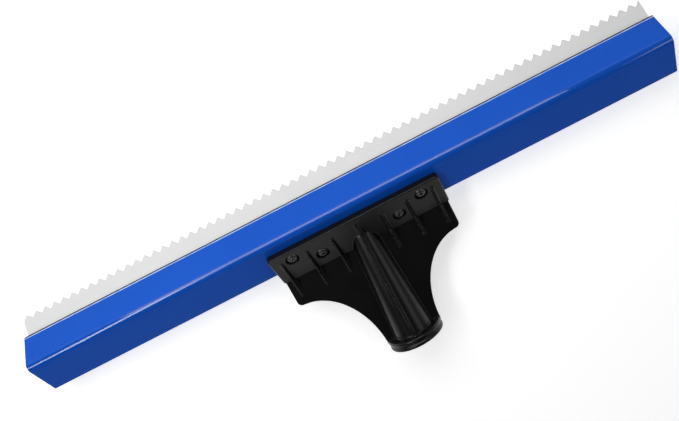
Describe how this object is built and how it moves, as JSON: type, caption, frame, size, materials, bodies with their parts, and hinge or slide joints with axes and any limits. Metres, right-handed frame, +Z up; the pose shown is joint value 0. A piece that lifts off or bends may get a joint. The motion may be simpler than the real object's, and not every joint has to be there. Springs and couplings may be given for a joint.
{
  "type": "notched floor squeegee head",
  "caption": "Wide notched rubber floor squeegee head: folded sheet-metal holder, clamped V-notched blade and a moulded bracket with a tapered handle socket.",
  "frame": {"origin": "middle of the tool's footprint, on the surface that it lies on", "axes": "+X along the holder, towards the blade end cut at a tooth tip; +Y from the handle socket towards the blade's teeth; +Z up, with the tool lying on its blade tips and on the rim of its socket"},
  "size_m": [0.61, 0.1776, 0.0522],
  "materials": {
    "blue_paint": "satin powder coat",
    "grey_rubber": "matt",
    "black_plastic": "satin",
    "black_steel": "black oxide",
    "bright_steel": "zinc plated"
  },
  "bodies": {
    "root": {"frame_channel": "blue_paint", "notched_blade": "grey_rubber", "clamp_strip": "bright_steel", "clamp_screw_1": "bright_steel", "clamp_screw_2": "bright_steel", "clamp_screw_3": "bright_steel", "clamp_screw_4": "bright_steel", "clamp_screw_5": "bright_steel", "clamp_screw_6": "bright_steel", "clamp_screw_7": "bright_steel", "handle_bracket": "black_plastic", "bracket_screw_1": "black_steel", "bracket_screw_2": "black_steel", "bracket_screw_3": "black_steel", "bracket_screw_4": "black_steel", "bracket_washer_1": "bright_steel", "bracket_washer_2": "bright_steel", "bracket_washer_3": "bright_steel", "bracket_washer_4": "bright_steel", "bracket_nut_1": "bright_steel", "bracket_nut_2": "bright_steel", "bracket_nut_3": "bright_steel", "bracket_nut_4": "bright_steel"}
  },
  "joints": []
}
